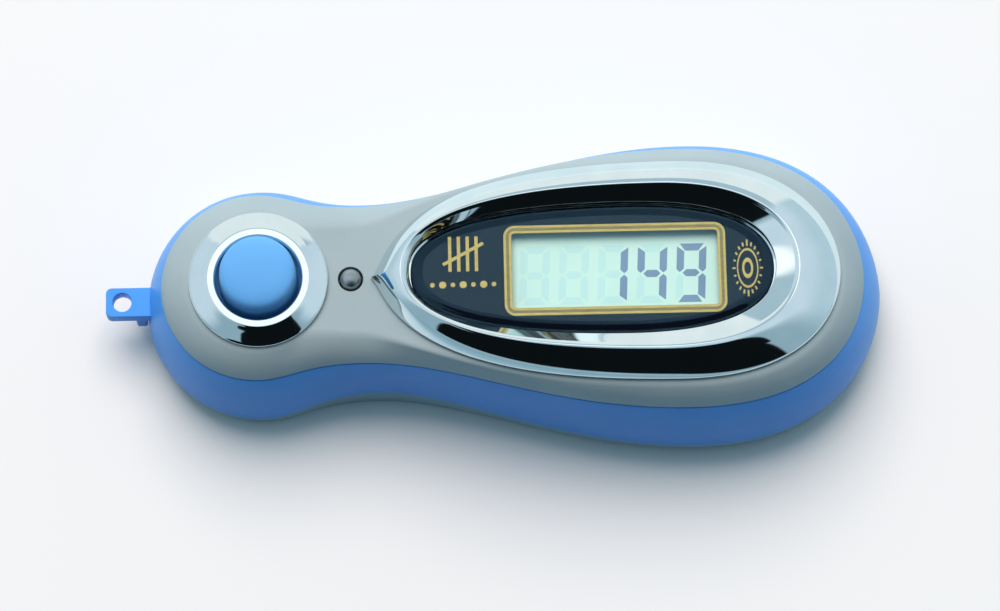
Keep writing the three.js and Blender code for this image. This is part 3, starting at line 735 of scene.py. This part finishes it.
def bezel():
    """The chrome trim round the display: a rounded ridge with a slope down to the lens."""
    skin = Skin()
    foot, ridge, lens = drop_half(TRIM_FOOT), drop_half(TRIM_RIDGE), drop_half(LENS)
    under = lambda x: crown_z(x) + SEAM_GAP
    top = lambda x: crown_z(x) + TRIM_RISE

    def level(share, rise):
        return ring(blend(foot, ridge, share), lambda x: blend(under(x), top(x), rise))

    slope = bezier([(0, 0.14), (0.14, 0.40), (0.50, 0.95), (0.93, 0.995)], 22)
    inner_edge = ring(offset(ridge, -0.35), lambda x: top(x) - 0.24)
    crest = rolled(level(0.93, 0.995), ring(ridge, top), inner_edge, 8)
    pocket, ledge = offset(lens, 0.12), offset(lens, -0.9)
    rings = [
        ring(offset(foot, -1.4), under),
        ring(foot, under),
        *[level(share, rise) for share, rise in slope],
        *crest,
        ring(pocket, LENS_HIGH + 0.1),
        ring(pocket, LENS_LOW - 0.15),
        ring(ledge, LENS_LOW - 0.15),
        ring(ledge, under),
        ring(offset(lens, 0.9), under),
        ring(blend(foot, ridge, 0.9), lambda x: top(x) - 1.5),
    ]
    radii = [0.1, 0.12] + [0] * (len(slope) + len(crest)) + [0.12, 0, 0.05, 0, 0, 0]
    skin.loft(filleted(rings, radii, looped=True), looped=True)
    return piece("bezel", skin, CHROME, stands_for=["display_bezel"], slot="chrome", crease=50)


PRINT_HIGH = LENS_LOW + 0.06
ART_HIGH = PRINT_HIGH + 0.03
FRAME_AT = (DISPLAY_X, 0.15)
FRAME_OUT = (28.2, 11.9)
FRAME_LINE = 1.02
LENS_ROLL = 2.1
LENS_DROP = 0.75


def full(half):
    """The whole closed plan of a half outline."""
    return ring(half, 0)[:, :2]


def lens():
    """The clear lens and, printed on its underside, the navy ground with its window."""
    outline = drop_half(LENS)
    ground = Skin()
    window = rounded_box(*FRAME_AT, FRAME_OUT[0] - 1.2, FRAME_OUT[1] - 1.2, 0.8)
    ground.prism(full(offset(outline, -0.04)), LENS_LOW, PRINT_HIGH, holes=[window])
    piece("lens_print", ground, PRINT, stands_for=["display_lens"], slot="clear_lens")
    slab = Skin()
    low = ART_HIGH + 0.01
    side = [ring(offset(outline, -0.3), low), ring(outline, low), ring(outline, LENS_HIGH - LENS_DROP)]
    corner = ring(offset(outline, -0.2), LENS_HIGH)
    top = rolled(side[-1], corner, ring(offset(outline, -LENS_ROLL), LENS_HIGH), 12)
    first, last = slab.loft([*side, *top])
    slab.fill(first, up=False)
    slab.fill(last, up=True)
    piece("lens_clear", slab, CLEAR, stands_for=["display_lens"], slot="clear_lens", crease=60)


def art(name, outlines, paint, low=PRINT_HIGH, high=ART_HIGH):
    """Printed shapes as one thin piece: each outline is a loop, or a loop and its holes."""
    skin = Skin()
    for loop, holes in outlines:
        skin.prism(loop, low, high, holes=holes)
    return piece(name, skin, paint, stands_for=["display_lens"], slot="clear_lens")


def bar(x0, y0, x1, y1, thick):
    """A straight stroke with square ends, as an anticlockwise loop."""
    start, end = np.array([x0, y0]), np.array([x1, y1])
    along = (end - start) / np.linalg.norm(end - start)
    side = np.array([-along[1], along[0]]) * thick / 2
    return np.array([start - side, end - side, end + side, start + side])


def display_frame():
    """The gold frame round the window: a deep band with a fine bright line along each edge."""
    wide, deep = FRAME_OUT
    x, y = FRAME_AT

    def line(inset, thick):
        outer = rounded_box(x, y, wide - 2 * inset, deep - 2 * inset, 1.45 - inset, 8)
        inner = rounded_box(x, y, wide - 2 * (inset + thick), deep - 2 * (inset + thick),
                            max(0.3, 1.45 - inset - thick), 8)
        return outer, [inner]

    art("gold_frame", [line(0, FRAME_LINE)], GOLD_DEEP)
    fine = 0.3
    art("gold_frame_lines", [line(0.02, fine), line(FRAME_LINE - fine - 0.02, fine)], GOLD,
        ART_HIGH + 0.001, ART_HIGH + 0.006)


def tally_mark():
    """A generic tally of five, over a row of beads, at the small end of the lens."""
    x, y, tall, pitch, stroke = -3.85, 2.5, 4.6, 1.12, 0.42
    strokes = [(bar(x + k * pitch, y - tall / 2, x + k * pitch, y + tall / 2, stroke), [])
               for k in (-1.5, -0.5, 0.5, 1.5)]
    art("gold_tally", strokes, GOLD)
    reach = 2.3 * pitch
    art("gold_tally_slash", [(bar(x - reach, y - tall * 0.3, x + reach, y + tall * 0.3, stroke), [])], GOLD,
        ART_HIGH + 0.001, ART_HIGH + 0.006)
    row_x, row_y, beads, gap = -3.9, -1.55, 7, 1.3
    shapes = []
    for k in range(beads):
        centre = row_x + (k - (beads - 1) / 2) * gap
        size = 0.46 if k % 2 else 0.3
        shapes.append((circle(centre, row_y, size, 20), []))
    art("gold_beads", shapes, GOLD)


def dial_mark():
    """A generic oval dial with ticks at the wide end of the lens."""
    x, y, wide, tall = 32.2, -0.1, 1.95, 3.75

    def oval(share):
        return circle(0, 0, 1, 64) * (wide * share, tall * share) + (x, y)

    shapes = [(oval(0.70), [oval(0.62)]), (oval(0.36), [oval(0.22)])]
    ticks = 20
    for k in range(ticks):
        angle = 2 * math.pi * k / ticks
        way = np.array([math.cos(angle) * wide, math.sin(angle) * tall])
        inner, outer = (0.78, 1.0) if k % 5 == 0 else (0.80, 0.94)
        shapes.append((bar(x + way[0] * inner, y + way[1] * inner, x + way[0] * outer, y + way[1] * outer,
                           0.22), []))
    art("gold_dial", shapes, GOLD)


# Seven-segment digits: a, b, c, d, e, f, g as on any such display.
DIGIT_SEGMENTS = {"8": "abcdefg", "1": "bc", "4": "bcfg", "9": "abcdfg", " ": ""}
SHOWN = "  149"
DIGIT = dict(wide=3.75, tall=7.73, pitch=4.97, line=0.93, gap=0.1, slant=math.radians(3.2))
LAST_DIGIT_X = 25.07
DIGIT_Y = -0.19


def segment_loops(digit):
    """The seven segment outlines of one digit about its middle, before slanting."""
    w, h, t, g = digit["wide"] / 2, digit["tall"] / 2, digit["line"], digit["gap"]
    m = t / 2
    cut = t * 0.28
    top = [(-w + cut + g, h), (-w + t + g, h - t), (w - t - g, h - t), (w - cut - g, h)]
    middle = [(-w + t * 0.75 + g, 0), (-w + t + m * 0.5 + g, -m), (w - t - m * 0.5 - g, -m),
              (w - t * 0.75 - g, 0), (w - t - m * 0.5 - g, m), (-w + t + m * 0.5 + g, m)]
    right = [(w, h - cut - g), (w - t, h - t - g), (w - t, m + g), (w - t * 0.45, g), (w, m * 0.9 + g)]
    mirror_x = lambda loop: [(-x, y) for x, y in loop]
    mirror_y = lambda loop: [(x, -y) for x, y in loop]
    return {"a": top, "b": right, "c": mirror_y(right), "d": mirror_y(top),
            "e": mirror_x(mirror_y(right)), "f": mirror_x(right), "g": middle}


def anticlockwise(loop):
    loop = np.array(loop, float)
    x, y = loop.T
    area = np.sum(x * np.roll(y, -1) - y * np.roll(x, -1))
    return loop if area > 0 else loop[::-1]


def display():
    """The liquid-crystal panel: a pale reflector, glass edges, and its lit and unlit segments."""
    (x0, y0, z0), (x1, y1, z1) = GLASS_LOW, GLASS_HIGH
    wide, deep = x1 - x0, y1 - y0
    shelf = z1 - 0.85
    glass = Skin()
    glass.prism(rounded_box(DISPLAY_X, 0, wide, deep - 3, 0.3), z0, shelf, 0.05)
    glass.prism(rounded_box(DISPLAY_X, 0, wide, deep, 0.3), shelf, z1 - 0.1, 0.05)
    piece("display_cell", glass, GLASS_EDGE, stands_for=["display_panel"], slot="display_glass")
    face = Skin()
    face.prism(rounded_box(DISPLAY_X, 0, wide - 0.4, deep - 0.4, 0.3), z1 - 0.099, z1 - 0.03)
    piece("display_face", face, REFLECTOR, stands_for=["display_panel"], slot="display_glass")
    lit, unlit = Skin(), Skin()
    shear = math.tan(DIGIT["slant"])
    for k, shown in enumerate(SHOWN):
        middle = LAST_DIGIT_X - (len(SHOWN) - 1 - k) * DIGIT["pitch"]
        for name, loop in segment_loops(DIGIT).items():
            loop = anticlockwise(loop)
            loop[:, 0] += middle + loop[:, 1] * shear
            loop[:, 1] += DIGIT_Y
            on = name in DIGIT_SEGMENTS[shown]
            (lit if on else unlit).prism(loop, z1 - 0.029, z1 - (0.005 if on else 0.015))
    piece("segments_on", lit, SEGMENT, stands_for=["display_panel"], slot="display_glass")
    piece("segments_off", unlit, GHOST, stands_for=["display_panel"], slot="display_glass")


# ---------- buttons ----------

def button_ring():
    """The chrome collar round the count button."""
    _, (_, _, top) = cad("button_ring")
    skin = Skin()
    skin.turned([(5.4, 15.2, 0.1), (6.2, 15.2, 0.1), (6.2, 16.7, 0.1), (8.6, 16.7), (8.87, 16.85, 0.1),
                 (8.87, 17.03, 0.12), (8.65, 17.18, 0.1), (7.9, 17.43, 0.36), (7.3, 17.62, 0.36),
                 (6.7, 17.86, 0.14), (6.5, top, 0.1), (5.6, top, 0.12), (5.4, 17.7, 0.1)],
                COUNT_X, 0, 160, 6)
    return piece("count_ring", skin, CHROME, stands_for=["button_ring"], slot="chrome", crease=50)


def count_cap():
    """The blue count button, a low dome on a straight side."""
    _, (_, _, top) = cad("count_button")
    dome = bezier([(4.8, top - 1.4), (4.79, top - 0.55), (4.35, top - 0.25), (2.8, top - 0.02), (0, top)], 26)
    skin = Skin()
    skin.turned([(0, 14.25), (1.6, 14.25, 0.2), (1.6, 19.8, 0.3), (3.9, 19.8, 0.3), (3.9, 14.3, 0.1),
                 (6.1, 14.3, 0.1), (6.1, 14.9, 0.15), (5, 14.9, 0.2), (4.86, 19), *map(tuple, dome)],
                COUNT_X, 0, 128)
    return piece("count_cap", skin, BUTTON, body="count_button", stands_for=["count_button"],
                 slot="blue_button")


def reset_cap():
    """The small dark reset button."""
    _, (_, _, top) = cad("reset_button")
    dome = bezier([(1.35, top - 0.95), (1.33, top - 0.25), (0.75, top - 0.01), (0, top)], 16)
    skin = Skin()
    skin.turned([(0, 13.15), (0.9, 13.15, 0.1), (0.9, 13.8), (2.3, 13.8, 0.1), (2.3, 14.5, 0.1),
                 (1.35, 14.5, 0.1), *map(tuple, dome)], RESET_X, 0, 64)
    return piece("reset_cap", skin, GUNMETAL, body="reset_button", stands_for=["reset_button"],
                 slot="gunmetal_button")


def switch_domes():
    """The snap domes inside the two push switches, which on the real counter flatten as the plungers come
    down; here they are built at rest, each with a mesh of its own.
    """
    sheet, rim, flattened = 0.08, 0.2, 0.02
    for label in ("count", "reset"):
        low, high = cad(f"{label}_switch_dome")
        x, y = (low[0] + high[0]) / 2, (low[1] + high[1]) / 2
        radius, rise = (high[0] - low[0]) / 2, high[2] - low[2]
        arc = [(math.sin(a), math.cos(a)) for a in np.linspace(0, math.pi / 2, 10)]
        inside_curve = [((radius - rim) * s, low[2] + (rise - sheet) * c) for s, c in arc]
        outside_curve = [(radius * s, low[2] + rise * c) for s, c in arc]
        inside_curve[0], outside_curve[0] = (0, high[2] - sheet), (0, high[2])
        skin = Skin()
        skin.turned([*inside_curve, *outside_curve[::-1]], x, y, segments=48)
        made = piece(f"{label}_snap_dome", skin, SHEET, stands_for=[f"{label}_switch_dome"],
                     slot="sheet_steel")
        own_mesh(made)


# ---------- underside ----------

def battery_cap():
    """The round battery door, with its coin slot and bayonet lugs."""
    (_, _, low), (_, _, top) = cad("battery_cap")
    step, lug_z, hub_r, disc_r, lug_r = 0.85, 1.6, 6.6, 8.3, 7.9
    skin = Skin()
    skin.turned([(0, low), (disc_r, low, 0.25), (disc_r, step, 0.1), (hub_r, step, 0.1), (hub_r, top, 0.2),
                 (0, top)], CELL_X, 0, 128)
    lugs = []
    for middle in (90, 210, 330):
        angles = np.radians(np.linspace(middle - 10, middle + 10, 7))
        arc = np.column_stack([CELL_X + lug_r * np.cos(angles), lug_r * np.sin(angles)])
        lug = Skin()
        lug.prism(np.vstack([arc, [(CELL_X, 0)]]), lug_z, top - 0.05)
        lugs.append(lug)
    slot = Skin()
    slot.prism(rounded_box(CELL_X, 0, 11, 1.8, 0.85, 8), low - 1, low + 0.9)
    made = combined(raw_object("battery_door", skin), lugs, "UNION")
    combined(made, [slot], "DIFFERENCE")
    return finished(made, GREY, body="battery_cap", stands_for=["battery_cap"], slot="grey_plastic")


def case_screw(number):
    """A pan-head screw, head down, with a cross recess."""
    x, y = screw_place(number)
    low, high = cad(f"case_screw_{number}")
    head_low, tip = low[2], high[2]
    seat, head_r, shank_r = head_low + 1.3, 1.9, 0.93
    skin = Skin()
    thread = []
    pitch = 0.9
    z = seat + 0.4
    while z + pitch < tip - shank_r:
        thread += [(shank_r - 0.22, z), (shank_r, z + pitch * 0.5), (shank_r - 0.22, z + pitch * 0.8)]
        z += pitch
    skin.turned([(0, head_low), (head_r * 0.75, head_low, 0.3), (head_r, head_low + 0.5, 0.3),
                 (head_r, seat, 0.1), (shank_r - 0.1, seat), *thread, (shank_r - 0.22, tip - shank_r),
                 (0, tip)], x, y, 40)
    arm, slim, deep = head_r * 0.55, head_r * 0.15, head_low + 0.8
    cross = [Skin(), Skin()]
    cross[0].prism(rounded_box(x, y, arm * 2, slim * 2, 0.1, 2), head_low - 1, deep)
    cross[1].prism(rounded_box(x, y, slim * 2, arm * 2, 0.1, 2), head_low - 1, deep)
    made = combined(raw_object(f"base_screw_{number}", skin), cross, "DIFFERENCE")
    return finished(made, SCREW, stands_for=[f"case_screw_{number}"], slot="screw_steel")


# ---------- studio ----------

FLOOR_SIZE = 3.0


def studio_floor():
    """A wide pale floor. In the chrome it is duller and darkens towards the photographer, and it throws
    only a dim, bluish light on the sides of the case. A faint glow lifts the shadow on it."""
    paint, tree, shader, place = blank("pale_floor")
    cloud = noise(tree, place, 60, detail=3)
    pale = mixed(tree, cloud, rgb(235, 233, 233), rgb(233, 231, 232))
    # Painted shade: as the chrome sees it, the floor darkens towards the front, standing in for the
    # photographer's shadow on it.
    depth = node(tree, "SeparateXYZ", {0: place}).outputs[1]
    shown = mixed(tree, between(tree, depth, -0.14, 0.0), (0.30, 0.44, 0.52, 1), (0.72, 0.80, 0.82, 1))
    path = node(tree, "LightPath")
    base = mixed(tree, path.outputs["Is Glossy Ray"], pale, shown)
    # Painted light: for bounced light the floor counts as a dim bluish colour, so the case's sides get less,
    # bluer light.
    base = mixed(tree, path.outputs["Is Diffuse Ray"], base, (0.22, 0.42, 0.58, 1))
    tree.links.new(base, shader.inputs["Base Color"])
    shader.inputs["Roughness"].default_value = 0.9
    shader.inputs["Specular IOR Level"].default_value = 0.1
    shader.inputs["Emission Color"].default_value = (0.4, 0.8, 1.0, 1)
    shader.inputs["Emission Strength"].default_value = 0.05
    half = FLOOR_SIZE / 2
    mesh = bpy.data.meshes.new("floor")
    mesh.from_pydata([(-half, -half, 0), (half, -half, 0), (half, half, 0), (-half, half, 0)], [],
                     [(0, 1, 2, 3)])
    mesh.materials.append(paint)
    floor = bpy.data.objects.new("floor", mesh)
    bpy.context.scene.collection.objects.link(floor)


KEY_PLACE = (-0.13, 1.0, 1.61)
KEY_SIZE = 1.7
KEY_POWER = 40.0
KEY_COLOUR = (1.0, 0.885, 0.80)

# The tent's parts as the chrome shows them, the fill on dull surfaces, and the backdrop, as linear colour.
PANEL = (1.25, 1.3, 1.3, 1)
BACK_HIGH = (0.46, 0.60, 0.68, 1)
BACK_LOW = (0.92, 0.97, 0.97, 1)
SIDE_HIGH = (0.68, 0.80, 0.89, 1)
SIDE_LOW = (0.54, 0.69, 0.78, 1)
FRONT_SIDE = (0.32, 0.46, 0.54, 1)
BLACK = (0.004, 0.006, 0.007, 1)
FILL_FRONT = (0.03, 0.06, 0.08, 1)
FILL_BACK = (0.48, 0.64, 0.74, 1)
BACKDROP = (0.925, 0.925, 0.935, 1)


def tilt(degrees):
    """The height of a direction of unit length that lies so far from straight up."""
    return math.cos(math.radians(degrees))


def studio_world():
    """A pale tent as the chrome shows it: a panel overhead, walls, and the dark shape of the
    photographer in front. Dull surfaces get a dim bluish fill, mostly from the back."""
    world = bpy.data.worlds.new("tent")
    bpy.context.scene.world = world
    world.use_nodes = True
    tree = world.node_tree
    tree.nodes.clear()
    way = node(tree, "SeparateXYZ", {0: node(tree, "TexCoord").outputs["Generated"]})
    x, y, z = way.outputs
    height = calc(tree, "MAXIMUM", z, 0.02)
    across = calc(tree, "DIVIDE", x, height)
    ahead = calc(tree, "DIVIDE", calc(tree, "MULTIPLY", y, -1.0), height)
    lean = math.radians(15)
    leant = calc(tree, "MULTIPLY", y, math.sin(lean))
    up = calc(tree, "ADD", leant, calc(tree, "MULTIPLY", z, math.cos(lean)))
    panel = between(tree, up, tilt(10), tilt(8))
    flat = calc(tree, "SQRT", calc(tree, "SUBTRACT", 1.0001, calc(tree, "MULTIPLY", z, z)))
    backwards = calc(tree, "DIVIDE", y, flat)
    walls = mixed(tree, between(tree, z, tilt(80), tilt(35)), SIDE_LOW, SIDE_HIGH)
    walls = mixed(tree, between(tree, calc(tree, "MULTIPLY", backwards, -1.0), 0.1, 0.5), walls, FRONT_SIDE)
    behind = mixed(tree, between(tree, z, tilt(48), tilt(46)), BACK_LOW, BACK_HIGH)
    walls = mixed(tree, between(tree, backwards, tilt(37), tilt(33)), walls, behind)
    sky = mixed(tree, panel, walls, PANEL)
    side = calc(tree, "DIVIDE", across, calc(tree, "MAXIMUM", ahead, 0.01))
    body = calc(tree, "MULTIPLY", window(tree, side, (-0.84, -0.78), (0.96, 1.02)),
                window(tree, ahead, (0.42, 0.47), (12.0, 16.0)))
    slanted = calc(tree, "SUBTRACT", across, calc(tree, "MULTIPLY", calc(tree, "SUBTRACT", ahead, 0.1), 0.87))
    camera = calc(tree, "MULTIPLY", between(tree, across, -0.25, -0.235),
                  calc(tree, "SUBTRACT", 1.0, between(tree, slanted, 0.27, 0.29)))
    camera = calc(tree, "MULTIPLY", camera, window(tree, ahead, (0.085, 0.1), (0.9, 1.0)))
    sky = mixed(tree, calc(tree, "MAXIMUM", body, camera), sky, BLACK)
    shiny = node(tree, "Background", {"Color": sky, "Strength": 1.0})
    fill = mixed(tree, between(tree, y, -0.4, 0.1), FILL_FRONT, FILL_BACK)
    dull = node(tree, "Background", {"Color": fill, "Strength": 1.0})
    plain = node(tree, "Background", {"Color": BACKDROP, "Strength": 1.0})
    path = node(tree, "LightPath")
    reflected = node(tree, "MixShader", {0: path.outputs["Is Glossy Ray"], 1: dull.outputs[0],
                                         2: shiny.outputs[0]})
    both = node(tree, "MixShader", {0: path.outputs["Is Camera Ray"], 1: reflected.outputs[0],
                                    2: plain.outputs[0]})
    tree.links.new(both.outputs[0], node(tree, "OutputWorld").inputs["Surface"])


def area_light(name, place, target, size, power, colour):
    """A round lamp, left out of the chrome, which shows the tent instead."""
    data = bpy.data.lights.new(name, "AREA")
    data.shape, data.size, data.energy, data.color = "DISK", size, power, colour
    lamp = bpy.data.objects.new(name, data)
    bpy.context.scene.collection.objects.link(lamp)
    lamp.visible_glossy = False
    lamp.location = place
    lamp.rotation_euler = (Vector(target) - Vector(place)).to_track_quat("-Z", "Y").to_euler()
    return lamp


def studio_camera():
    """A distant camera 74 degrees above the horizon, turned a degree to the left."""
    elevation, azimuth = math.radians(74.01), math.radians(-1.22)
    distance, target = 0.6, Vector((0.75, -2.11, 10.0)) * MM
    sensor, focal_length = 36.0, 168.408
    back = Vector((math.sin(azimuth) * math.cos(elevation), -math.cos(azimuth) * math.cos(elevation),
                   math.sin(elevation)))
    data = bpy.data.cameras.new("camera")
    data.sensor_width = sensor
    data.lens = focal_length
    data.clip_start, data.clip_end = 0.01, 20.0
    camera = bpy.data.objects.new("camera", data)
    bpy.context.scene.collection.objects.link(camera)
    camera.location = target + back * distance
    camera.rotation_euler = (-back).to_track_quat("-Z", "Y").to_euler()
    bpy.context.scene.camera = camera


# ---------- assembly ----------

repaint_cad_nodes()
cover()
band()
base()
lanyard_tab()
bezel()
lens()
display_frame()
tally_mark()
dial_mark()
display()
button_ring()
count_cap()
reset_cap()
switch_domes()
battery_cap()
for screw_number in SCREWS:
    case_screw(screw_number)

studio_floor()
studio_world()
area_light("key", KEY_PLACE, (0, 0, 0), KEY_SIZE, KEY_POWER, KEY_COLOUR)
studio_camera()
bpy.context.scene.view_settings.view_transform = "Standard"
